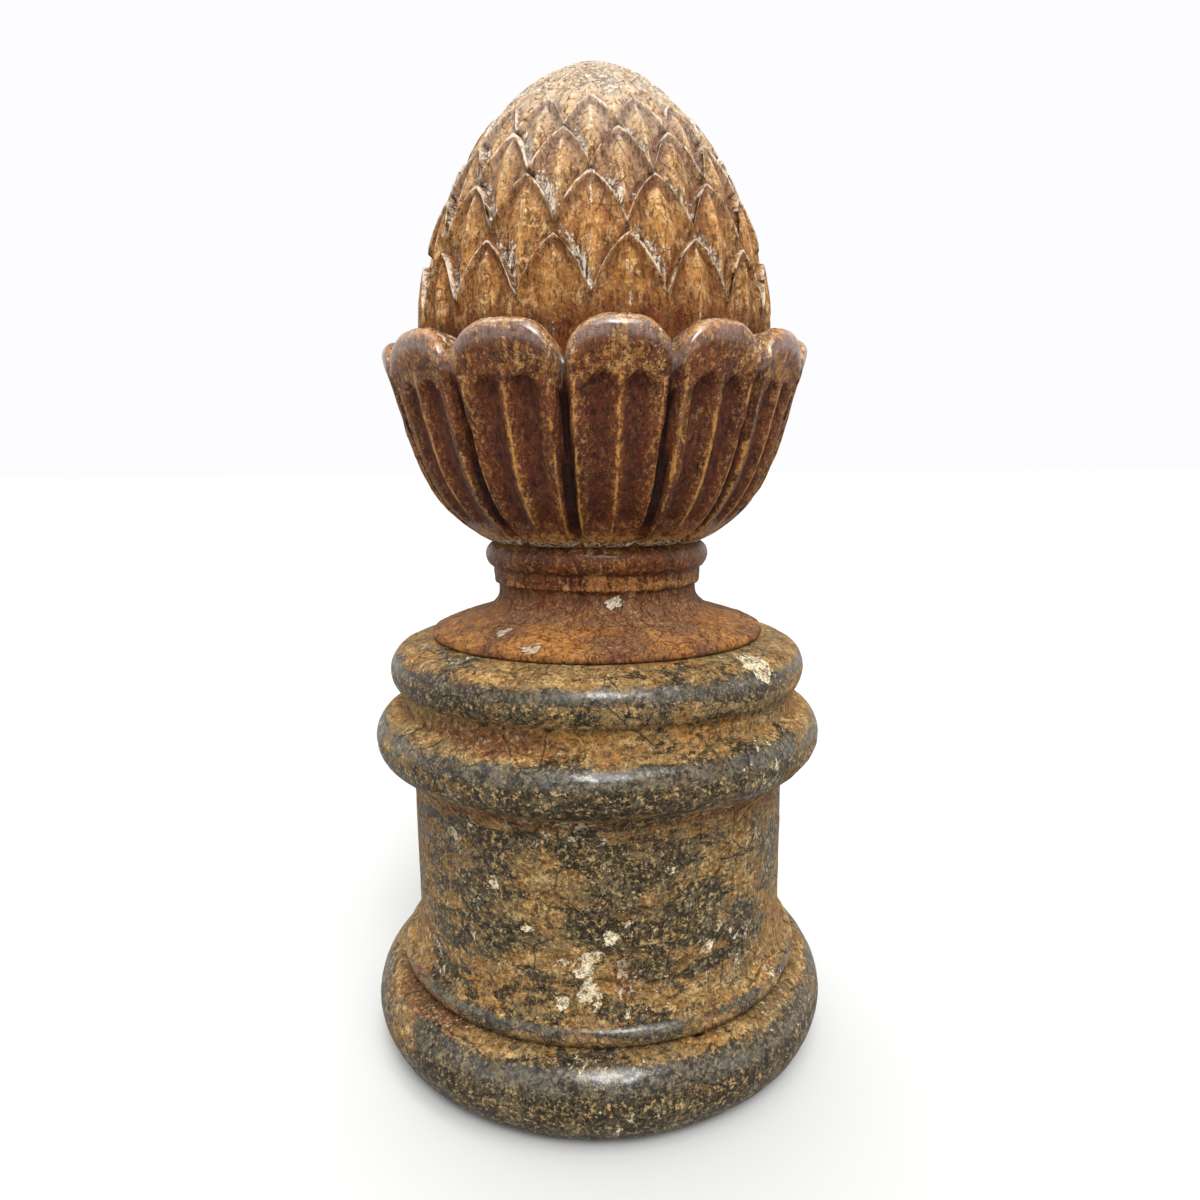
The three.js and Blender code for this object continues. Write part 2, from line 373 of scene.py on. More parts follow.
@dataclass(frozen=True)
class Chip:
    """A place where the paint or the clay has broken away, in millimetres."""

    turn: float  # degrees round the axis from the front, towards the right
    height: float  # of its middle
    width: float
    length: float  # up the surface
    depth: float

    def cut(self, skin: Skin) -> None:
        """Sinks the chip into a skin with a ragged edge, and marks it bare.

        Args:
            skin: The skin. A point is inside where its distance from the middle, as a share of the
                half width and half length and shaken by lumps, is under 1.
        """
        radius = np.hypot(skin.points[..., 0], skin.points[..., 1])
        across = skin.apart(self.turn) * radius / (self.width / 2)
        along = (skin.points[..., 2] - self.height) / (self.length / 2)
        away = np.hypot(across, along) + RAGGED * lumps(skin.points, RAGGED_SIZE, RAGGED_SEED)
        inside = 1 - ease(0.7, 1.05, away)
        skin.marks["bare"] = np.maximum(skin.marks["bare"], inside)
        skin.push(-self.depth * inside)


@dataclass(frozen=True)
class Stain:
    """A place where iron from the ground or the weather has reddened the surface."""

    turn: float  # degrees round the axis from the front, towards the right
    height: float  # of its middle, in millimetres
    spread: float  # half its width in degrees
    reach: float  # half its height in millimetres
    strength: float  # in its middle, from 0 to 1

    def tint(self, skin: Skin) -> None:
        """Adds the stain to a skin's red mark.

        Args:
            skin: The skin. The stain is a bell round its middle.
        """
        across = np.degrees(skin.apart(self.turn)) / self.spread
        along = (skin.points[..., 2] - self.height) / self.reach
        soft = bump(np.hypot(across, along), 1.0)
        skin.marks["red"] = np.maximum(skin.marks["red"], self.strength * soft)


@dataclass(frozen=True)
class Wear:
    """How uneven a worn surface is, in millimetres."""

    sway: float  # height of the broad unevenness of hand moulding
    dents: float  # height of the small lumps and dents
    flakes: float  # depth of the edges where paint has flaked
    seed: int  # which set of lumps to use
    polish: float = 0.65  # how much of the dents a polished place has lost
    sizes: tuple[float, ...] = (55.0, 8.0, 13.0, 6.0)  # of unevenness, dents, flakes and breaks

    def roughen(self, skin: Skin) -> None:
        """Pushes a skin in and out by lumps and flakes, and breaks up its rims.

        Args:
            skin: The skin, whose gloss mark says where dents are rubbed down.
        """
        broad, small, flaked, broken = (
            lumps(skin.points, size, self.seed + shift, octaves)
            for size, shift, octaves in zip(self.sizes, (0, 5, 11, 17), (2, 4, 4, 3))
        )
        depth = self.sway * broad + self.dents * (1 - self.polish * skin.marks["gloss"]) * small
        flaked = ease(0.32, 0.46, flaked)
        broken = ease(-0.9, 0.0, broken)
        skin.marks["rim"] = skin.marks["rim"] * blend(0.3, 1.0, broken)
        skin.push(depth - self.flakes * flaked)


@dataclass
class Plinth:
    """The round plinth: base roll, bead, cove, drum, cove, middle roll, scotia and top roll."""

    base: Roll = Roll(110.0, 20.5, -90.0, 64.0)
    bead: Roll = Roll(97.3, 5.6, -58.0, 70.0)
    middle: Roll = Roll(106.0, 13.6, -62.0, 78.0)
    top: Roll = Roll(98.4, 12.4, -33.0, 78.0)
    lower_cove: float = 15.0
    drum_radius: float = 89.3
    drum_height: float = 64.0
    worn_height: float = 12.0
    upper_cove: float = 10.0
    upper_reach: float = 6.5
    scotia_height: float = 11.0
    scotia_radius: float = 93.2
    quirk: float = 1.0
    cove_depth: float = 0.3
    seat_radius: float = 81.0
    hidden_radius: float = 72.0
    side_less_paint: float = 0.45
    side_dull: float = 0.8
    height: float = field(default_factory=lambda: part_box("round_plinth")[1].z / MM)
    columns: int = 330
    step: float = 1.3
    wear: Wear = Wear(sway=0.45, dents=0.14, flakes=0.2, seed=3)
    chips: tuple[Chip, ...] = (
        Chip(-5, 73, 14, 11, 0.6),
        Chip(-1.5, 61, 11, 9, 0.6),
        Chip(-10, 56, 5, 5, 0.5),
        Chip(3, 84, 4, 5, 0.4),
        Chip(6, 69, 4, 18, 0.6),
        Chip(46, 190, 17, 8, 1.1),
        Chip(55, 47, 11, 7, 1.2),
        Chip(-29, 104, 5, 7, 0.5),
        Chip(-20, 86, 7, 4, 0.5),
        Chip(19, 111, 5, 5, 0.5),
        Chip(31, 72, 6, 8, 0.6),
        Chip(-44, 120, 5, 4, 0.5),
    )
    stains: tuple[Stain, ...] = (
        Stain(-52, 42, 20, 9, 1.0),
        Stain(-28, 166, 26, 6, 0.9),
        Stain(0, 134, 150, 4.5, 0.75),
        Stain(7, 69, 4, 11, 1.0),
        Stain(58, 128, 12, 9, 0.6),
        Stain(120, 44, 30, 9, 0.8),
        Stain(-150, 165, 34, 6, 0.8),
    )

    def mouldings(self) -> list[Moulding]:
        """Works out the outline, each moulding standing on the one below.

        Returns:
            Its stretches from the middle of the underside to the middle of the top.
        """
        base, bead, middle, top = self.base, self.bead, self.middle, self.top
        bead_foot = base.section + base.rise(0, base.end)
        bead_top = bead_foot + bead.rise(bead.start, bead.end)
        drum_foot = bead_top + self.lower_cove
        drum_top = drum_foot + self.drum_height
        cove_top = drum_top + self.upper_cove
        middle_top = cove_top + middle.rise(middle.start, middle.end)
        scotia_top = middle_top + self.scotia_height
        bead_centre = bead_foot - bead.rise(0, bead.start)
        middle_centre = cove_top - middle.rise(0, middle.start)
        top_centre = scotia_top - top.rise(0, top.start)
        drum, scotia = self.drum_radius, self.scotia_radius
        edge = drum + self.quirk
        lower = hollow_curve(
            tuple(bead.arc(bead_centre, bead.start, bead.end)[-1]),
            (drum, blend(bead_top, drum_foot, self.cove_depth)),
            (drum, drum_foot),
        )
        upper = hollow_curve(
            (edge, drum_top),
            (edge + self.quirk, blend(drum_top, cove_top, 0.6)),
            (edge + self.upper_reach, cove_top - self.quirk),
        )
        waist = hollow_curve(
            (scotia + self.quirk, middle_top),
            (scotia, blend(middle_top, scotia_top, self.cove_depth)),
            (scotia, scotia_top - self.quirk / 2),
        )
        worn = drum_foot + self.worn_height
        seat, hidden, height = self.seat_radius, self.hidden_radius, self.height
        # The hollow numbers here are painted shade, with some dust: under the rolls, in the groove
        # under the bead and in the coves.
        base_wear = (-50, 0.75, 0.5), (20, 0.98, 0.2), (48, 0.98, 0, 1), (54, 0.5), (base.end, 0.12)
        bead_wear = (-15, 0.35, 1), (20, 0.45, 0.2, 0.3), (52, 0.8, 0, 1), (bead.end, 0.4)
        middle_wear = (-35, 0.62, 0.3), (14, 0.98), (48, 0.92, 0, 1), (55, 0.5), (middle.end, 0.24)
        top_wear = (-5, 0.55, 0.1), (14, 0.7), (44, 0.98, 0, 1), (top.end, 0.2)
        return [
            Moulding(line((AXIS, 0), (base.reach - base.section, 0)), 0.5, coarse=HIDDEN),
            *base.worn(base.section, *base_wear),
            *bead.worn(bead_centre, *bead_wear),
            Moulding(lower, 0.36, 0.1),
            Moulding(line((drum, drum_foot), (drum, worn)), 0.48),
            Moulding(line((drum, worn), (drum, drum_top)), 0.62),
            Moulding(upper, 0.16, 0.15),
            *middle.worn(middle_centre, *middle_wear),
            Moulding(waist, 0.06, 0.2),
            *top.worn(top_centre, *top_wear),
            Moulding(line((seat, height), (hidden, height)), 0.2, 0.2),
            Moulding(line((hidden, height), (AXIS, height)), 0.2, 0.2, coarse=HIDDEN),
        ]

    def build(self) -> bpy.types.Object:
        """Turns, wears and dresses the plinth.

        Returns:
            The plinth's object, which stands for the plain solid.
        """
        skin = turned(self.mouldings(), self.columns, self.step)
        flat = np.minimum(skin.points[..., 2], self.height - skin.points[..., 2])
        held = skin.points.copy()
        self.wear.roughen(skin)
        skin.marks["red"] = np.zeros_like(skin.marks["paint"])
        for chip in self.chips:
            chip.cut(skin)
        for stain in self.stains:
            stain.tint(skin)
        aside = np.abs(skin.points[..., 0]) / self.base.reach
        # Less of the dark coat towards the left and right as seen from the camera, so those sides
        # show more ochre.
        skin.marks["paint"] -= self.side_less_paint * aside**3
        skin.marks["gloss"] *= 1 - self.side_dull * np.minimum(aside, 1) ** 2
        skin.points = blend(held, skin.points, ease(0.0, FLAT_EDGE, flat)[..., None])
        piece = make_piece("round_plinth_worn", [skin], PlinthFinish())
        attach(piece, "root")
        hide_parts("round_plinth")
        return piece


@dataclass
class Foot:
    """The finial's trumpet foot, neck, collar and neck roll, turned in one outline."""

    radius: float = 79.0
    edge: float = 4.4
    height: float = 21.5
    neck_radius: float = 47.0
    collar_height: float = 10.0
    collar_reach: float = 2.0
    neck_roll: Roll = Roll(53.0, 6.6, -65.0, 75.0)
    top_radius: float = 50.0
    bury: float = 25.0
    columns: int = 220
    step: float = 1.55

    def skin(self, base: float) -> Skin:
        """Turns the foot.

        Args:
            base: The height it stands at.

        Returns:
            The foot's skin, shut inside the cup of petals.
        """
        top = base + self.height
        waist = base + self.height / 2
        collar = top + self.collar_height / 3
        collar_top = top + self.collar_height
        neck, half = self.neck_radius, self.edge / 2
        reach = neck + self.collar_reach
        flat = self.radius - half
        bend = ((self.radius + neck) / 2, waist)
        sweep = hollow_curve((flat, base + self.edge), bend, (neck, waist), (neck, top))
        edge = Roll(self.radius, half, -90.0, 70.0)
        lip = Roll(reach, 1.2, -90.0, 0.0)
        crest = (reach + 0.3, collar_top - 0.8)
        crown = self.neck_roll
        centre = collar_top + crown.section
        shaft = self.top_radius
        inside = line((shaft, centre + crown.section), (shaft, centre + self.bury))
        # The hollow numbers are painted shade in the creases: at the foot's edge, under the collar,
        # between collar and neck roll, and under the cup.
        mouldings = [
            Moulding(line((AXIS, base), (flat, base)), 0.3, coarse=HIDDEN),
            *edge.worn(base + half, (edge.end, 0.3, 0.3)),
            Moulding(sweep, 0.3, 0.05),
            Moulding(line((neck, top), (neck, collar)), 0.6, 0.5),
            *lip.worn(collar + lip.section, (lip.end, 0.5, 0.2)),
            Moulding(line((reach, collar + lip.section), crest), 0.4, 0.2),
            Moulding(line(crest, (reach, collar_top)), 0.7, 1.0),
            *crown.worn(centre, (5, 0.85), (45, 0.85, 0, 0.3), (crown.end, 0.4, 0.4)),
            Moulding(inside, 0.7, 0.8, coarse=HIDDEN / 2),
        ]
        return turned(mouldings, self.columns, self.step)


@dataclass
class PetalCup:
    """The cup of round-tipped petals, each with two flutes and a ridge between them."""

    petals: int = 13
    turn: float = -2.4
    drift: float = 8.6
    drift_turn: float = -99.3
    height: float = 89.0
    foot_radius: float = 50.0
    radius: float = 94.3
    inner_radius: float = 77.0
    swell_rate: float = 5.2
    swell_share: float = 0.59
    arch: float = 13.0
    gap: float = 9.5
    lip: float = 6.0
    flute_depth: float = 3.2
    flute_place: float = 0.36
    flute_half: float = 0.27
    margin: float = 0.76
    flute_foot: float = 0.11
    flute_top: float = 0.84
    ridge: float = 0.09
    columns_each: int = 28
    face_rings: int = 66
    lip_bend: Span = (10.0, 125.0)
    lip_rings: int = 13

    def bowl(self, share: Array) -> Array:
        """Gives the radius at a share of the height: part line, part 1 - exp(-rate share)."""
        swell = (1 - np.exp(-self.swell_rate * share)) / (1 - math.exp(-self.swell_rate))
        return blend(self.foot_radius, self.radius, blend(share, swell, self.swell_share))

    def angles(self, place: Array) -> Array:
        """Works out where each column stands.

        Args:
            place: Places round the cup, one to a petal.

        Returns:
            Radians: even steps, drawn wider on one side by a slow sine.
        """
        even = math.radians(self.turn) + (place - 0.5) * TURN / self.petals
        wave = np.sin(even - math.radians(self.drift_turn))
        return FRONT + even + math.radians(self.drift) * wave

    def flutes(self, side: Array, share: Array) -> tuple[Array, Array]:
        """Works out the two flutes of each petal.

        Args:
            side: Place across a petal, -1 to 1.
            share: Place up the petal, 0 to 1.

        Returns:
            How deep the flutes are, 1 on their floors, and the lines beside them: the ridge
            between the two, each margin of the petal and the brow over each flute.
        """
        across = (np.abs(side) - self.flute_place) / self.flute_half
        dome = self.flute_top - 0.06 * across**2
        ends = ease(0.0, 0.04, share - self.flute_foot) * ease(0.0, 0.03, dome - share)
        floor = np.clip(1 - across**4, 0, 1) * (np.abs(across) < 1)
        climbs = ease(0.03, 0.12, share)
        ridge = bump(side, blend(0.035, self.ridge, ease(0.3, self.flute_top, share)))
        margin = 0.75 * bump(np.abs(side) - self.margin - 0.02, 0.03)
        arris = np.maximum(blend(1.0, 0.6, ease(0.4, 0.8, share)) * ridge, margin) * climbs
        arris = arris * (1 - ease(self.flute_top - 0.02, self.flute_top + 0.04, share))
        brow = 0.5 * bump(dome - share - 0.004, 0.012) * (np.abs(across) < 1)
        return floor * ends, np.maximum(arris, brow)

    def skin(self, base: float) -> Skin:
        """Shapes the cup: the bowl less gaps and flutes, a half-round lip, and in under the cone.

        Args:
            base: The height of its foot.

        Returns:
            The cup's skin.
        """
        columns = self.petals * self.columns_each
        place = np.arange(columns) / self.columns_each
        side = (2 * (place % 1) - 1)[None, :]
        angle = self.angles(place)[None, :]
        share = np.linspace(0, 1, self.face_rings)[:, None]
        top = base + self.height - self.lip - self.arch * np.abs(side) ** 3.4
        flank = blend(self.margin + 0.03, 0.92, ease(0.3, 1.0, share))
        gap = np.clip((np.abs(side) - flank) / (1 - flank), 0, 1)
        gap = 1 - (1 - gap) ** 2.6
        floor, edge = self.flutes(side, share)
        round_face = 1.6 * (1 - np.abs(side) ** 2.5)
        swollen = 1.5 * bump(share - 0.97, 0.1) * (1 - gap)
        sunk = self.gap * gap * np.minimum(1, 0.25 + share)
        radius = self.bowl(share) - sunk + swollen + round_face - 0.8
        radius = radius - self.flute_depth * floor * blend(0.75, 1.0, share) + 0.6 * edge
        height = blend(base, top, share)
        bend = np.radians(np.linspace(*self.lip_bend, self.lip_rings))[:, None]
        lip_radius = radius[-1:] - self.lip * (1 - np.cos(bend))
        lip_height = top + self.lip * np.sin(bend)
        under = np.array((1.0, 3.5, 7.0))[:, None]
        under_radius = np.minimum(lip_radius[-1:], self.inner_radius + 6) - under
        under_height = lip_height[-1:] - 0.25 * under
        rows = (self.face_rings, len(bend), len(under))
        # Painted shade, with some real darker varnish in the flutes: flute floors, gaps between
        # petals, the lip over each gap and the tuck under the lip are marked hollow.
        shade = np.clip(np.maximum(0.8 * floor, 1.0 * ease(0.1, 0.6, gap)), 0, 1)
        lip_shade = ease(0.4, 0.9, gap[-1:]) * np.ones_like(bend)
        dusty = ease(30, 75, np.degrees(bend)) * np.ones_like(side)
        glaze = ease(0.93, 0.99, share)
        face_paint = blend(0.95, 0.56, ease(self.flute_top - 0.05, self.flute_top + 0.03, share))
        face_paint = blend(0.12, blend(face_paint, 0.62, glaze), ease(0.02, 0.14, share))
        shade = shade * ease(0.0, 0.15, share)
        marks = {
            "paint": (face_paint, 0.56 - 0.56 * dusty, 0.0),
            "hollow": (shade, lip_shade, 0.7),
            "rim": (np.clip(edge, 0, 1), 0.5 * bump(bend - 0.9, 0.5) * np.ones_like(side), 0.3),
            "bare": (0.8 * bump(share - 0.012, 0.022), 0.35 * dusty, 0.5),
            "gloss": (0.06 + 0.9 * glaze, 1 - dusty, 0.0),
        }
        return Skin.from_polar(
            angle,
            stacked((radius, lip_radius, under_radius), rows, columns),
            stacked((height, lip_height, under_height), rows, columns),
            {name: stacked(parts, rows, columns) for name, parts in marks.items()},
        )


@dataclass
class BractCone:
    """The cone of pointed bracts, in rows each half a bract round from the last.

    The edge of each row is a line of pointed arches. Rings follow those lines, so each edge is
    a crisp step, and the next row starts behind it.
    """

    bracts: int = 17
    turn: float = 10.0
    radius: float = 80.5
    height: float = 118.0
    fullness: float = 1.8
    point: float = 0.62
    tips: tuple[float, ...] = (28.5, 53.0, 72.5, 88.0)
    drops: tuple[float, ...] = (22.0, 19.0, 17.5, 14.0)
    steps: tuple[float, ...] = (3.4, 3.1, 2.7, 1.6)
    trough: float = 1.8
    bury: float = 22.0
    columns_each: int = 20
    step: float = 1.15
    cap_rings: int = 38
    cap_rib: float = 0.8

    def outline(self, height: Array) -> Array:
        """Gives the radius at a height, (1 - share^fullness)^point: a pointed egg."""
        share = np.clip(height / self.height, 0, 1)
        return self.radius * (1 - share**self.fullness) ** self.point + np.minimum(height, 0) * 0.12

    def place(self, row: int) -> Array:
        """Gives each column's place round its bract of a row, 0 to 1 from tip to tip."""
        even = np.arange(self.bracts * self.columns_each) / self.columns_each
        return (even + 0.5 * (row % 2)) % 1

    def across(self, row: int) -> Array:
        """Gives each column's place in its bract of a row: 0 under the tip, 1 at the notch."""
        return 2 * np.minimum(self.place(row), 1 - self.place(row))

    def right(self, row: int) -> Array:
        """Gives 1 for the columns to the right of their bract's tip in a row, or else 0."""
        return (self.place(row) < 0.5).astype(float)

    def square(self, gap: Array, edge: Array) -> Array:
        """Turns an upright gap to a row's edge into the distance square to that edge."""
        return gap / np.hypot(1, np.gradient(edge, TURN * self.radius / len(edge)))

    def edge(self, row: int) -> Array:
        """Gives the height of a row's edge: a pointed arch, steep at the notch, bent at the tip."""
        side = self.across(row)
        return self.tips[row] - self.drops[row] * (0.46 * side + 0.54 * side**2.6)

    def band(self, row: int, low: Array, high: Array) -> tuple[Array, Array, dict[str, Array]]:
        """Shapes the part of a row that shows.

        Args:
            row: The row's number, 0 for the lowest.
            low: Height of the edge below, for each column.
            high: Height of the row's own edge.

        Returns:
            Radius, height and marks as grids. The face leans out as it climbs, with a raised rim
            along the arch, a midrib, and a groove between neighbours.
        """
        rings = max(6, int((high - low).mean() / self.step))
        t = np.linspace(0, 1, rings)[:, None]
        t = blend(t, ease(0, 1, t), 0.35)
        height = blend(low, high, t)
        side = self.across(row)[None, :]
        half = math.pi * self.outline(height) / self.bracts
        from_edge = self.square(high - height, high)
        from_low = self.square(height - low, low)
        recess = self.steps[row - 1] if row else 1.5
        lean = -0.9 * recess * (1 - t) ** 1.3
        rim = 0.9 * bump(from_edge - 0.4, 1.1)
        inside = -1.2 * bump(from_edge - 3.0, 2.2)
        seam = bump((1 - side) * half, 1.0) * ease(0.0, 1.5, from_low) * bump(from_edge, 7.0)
        midrib = bump(side * half, 1.1) * ease(0.5, 4.0, from_edge)
        belly = np.sin(math.pi * side) ** 2
        clear = ease(1.5, 7.0, from_edge)
        relief = lean + rim + inside - 0.7 * seam + 0.5 * midrib - self.trough * belly * clear
        radius = self.outline(height) + relief
        notch = 0.25 + 0.75 * self.across(row + 1)[None, :]
        flank = blend(0.3, 1.0, self.right(row - 1))[None, :]
        lit = 0.75 + 0.25 * self.right(row)[None, :]
        lime = bump(from_low - 1.2, blend(4.2, 2.6, row / len(self.tips)))
        # Painted shade: where a row comes out from under the rim below, in seams and troughs, under
        # the rim inside each tip, and at the cone's foot by the petals.
        shade = 0.8 * bump(from_low, 1.6) * (row > 0) + 0.25 * seam + 0.5 * belly**2 * clear
        shade += 0.9 * bump(from_edge - 2.8, 2.0) * (1 - 0.6 * side)
        shade += 0.8 * (1 - ease(-6.0, 9.0, height))
        marks = {
            "paint": blend(0.6, 0.2, height / self.height) * np.ones_like(side),
            "hollow": np.clip(shade, 0, 1),
            "rim": np.clip(lit * bump(from_edge, 1.0) + 0.5 * midrib, 0, 1),
            "bare": flank * notch * lime * (row > 0),
            "gloss": 0.0,
        }
        return radius, height, marks

    def skin(self, base: float) -> Skin:
        """Shapes the cone: bands and steps, with a plain worn cap above the last row.

        Args:
            base: The height of its foot, where its outline starts.

        Returns:
            The cone's skin.
        """
        columns = self.bracts * self.columns_each
        angle = FRONT + math.radians(self.turn) + np.arange(columns)[None, :] * TURN / columns
        low = np.full(columns, -self.bury)
        bands = []
        for row in range(len(self.tips)):
            high = self.edge(row)
            bands.append(self.band(row, low, high))
            low = high + 0.12
        t = np.linspace(0, 1, self.cap_rings)[:-1, None]
        height = blend(low[None, :], self.height, 1 - (1 - t) ** 1.65)
        side = self.across(len(self.tips))[None, :]
        rib = bump(side, 0.14) + 0.8 * bump(1 - side, 0.12) - 0.35
        relief = self.cap_rib * rib * ease(1.0, 0.5, t)
        radius = self.outline(height) - self.steps[-1] * (1 - t) ** 6 + relief
        # Painted shade at the cap's foot and in the grooves between its ribs.
        groove = 0.35 * bump(side - 0.5, 0.2) * ease(0.8, 0.3, t)
        marks = {
            "paint": np.full_like(height, 0.05),
            "hollow": 0.6 * bump(height - low, 2.0) + groove,
            "rim": 0.12 + 0.4 * bump(side, 0.1) * ease(0.7, 0.3, t),
            "gloss": np.zeros_like(height),
            "bare": 0.5 * ease(0.0, 0.3, t) * np.ones_like(height),
        }
        bands.append((radius, height, marks))
        radii, heights, worn = zip(*bands)
        marks = {
            name: np.concatenate([own[name] + np.zeros_like(z) for own, z in zip(worn, heights)])
            for name in marks
        }
        return Skin.from_polar(angle, np.concatenate(radii), base + np.concatenate(heights), marks)


@dataclass
class Finial:
    """The finial: foot, cup of petals and cone of bracts, moulded as one piece."""

    foot: Foot = field(default_factory=Foot)
    cup: PetalCup = field(default_factory=PetalCup)
    cone: BractCone = field(default_factory=BractCone)
    base: float = field(default_factory=lambda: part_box("artichoke_finial")[0].z / MM)
    wear: Wear = Wear(sway=0.45, dents=0.28, flakes=0.2, seed=21)
    chips: tuple[Chip, ...] = (
        Chip(9, 215, 8, 5, 0.5),
        Chip(-38, 204, 7, 3.5, 0.5),
        Chip(-22, 200, 11, 3, 0.6),
    )

    def build(self) -> bpy.types.Object:
        """Shapes, wears and dresses the finial.

        Returns:
            The finial's object, which stands for the plain solid.
        """
        collar_top = self.base + self.foot.height + self.foot.collar_height
        cup_base = collar_top + 2 * self.foot.neck_roll.section
        cone_base = cup_base + self.cup.height + self.cup.lip / 2
        skins = [self.foot.skin(self.base), self.cup.skin(cup_base), self.cone.skin(cone_base)]
        for skin, upper in zip(skins, (0.0, 0.0, 1.0)):
            skin.marks["upper"] = np.full_like(skin.marks["paint"], upper)
            held = skin.points.copy()
            self.wear.roughen(skin)
            free = ease(0.0, FLAT_EDGE, held[..., 2] - self.base)
            skin.points = blend(held, skin.points, free[..., None])
        for chip in self.chips:
            chip.cut(skins[0])
        piece = make_piece("artichoke_finial_carved", skins, FinialFinish())
        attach(piece, "root")
        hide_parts("artichoke_finial")
        return piece


class Sum:
    """A number worked out in a material's nodes: arithmetic on it adds the nodes."""

    def __init__(self, graph: "Graph", socket: bpy.types.NodeSocket) -> None:
        """Wraps a socket of a graph."""
        self.graph = graph
        self.socket = socket

    def math(self, operation: str, *values: Any) -> "Sum":
        """Adds one Math node and gives its result."""
        node = self.graph.node("ShaderNodeMath", {"operation": operation}, dict(enumerate(values)))
        return Sum(self.graph, node.outputs[0])

    def __add__(self, other: Any) -> "Sum":
        """Gives self + other."""
        return self.math("ADD", self, other)

    def __sub__(self, other: Any) -> "Sum":
        """Gives self - other."""
        return self.math("SUBTRACT", self, other)

    def __rsub__(self, other: Any) -> "Sum":
        """Gives other - self."""
        return self.math("SUBTRACT", other, self)

    def __mul__(self, other: Any) -> "Sum":
        """Gives self times other."""
        return self.math("MULTIPLY", self, other)

    __radd__ = __add__
    __rmul__ = __mul__

    def larger(self, other: Any) -> "Sum":
        """Gives the larger of the two."""
        return self.math("MAXIMUM", self, other)

    def ease(self, low: float, high: float) -> "Sum":
        """Climbs smoothly between two values of the number.

        Args:
            low: Where it is 0.
            high: Where it is 1.

        Returns:
            The share climbed.
        """
        node = self.graph.node(
            "ShaderNodeMapRange",
            {"interpolation_type": "SMOOTHSTEP"},
            {"Value": self, "From Min": low, "From Max": high},
        )
        return Sum(self.graph, node.outputs[0])


class Pattern(Enum):
    """The kinds of pattern in space that a finish uses, by their node."""

    CLOUDS = "ShaderNodeTexNoise"
    CELLS = "ShaderNodeTexVoronoi"


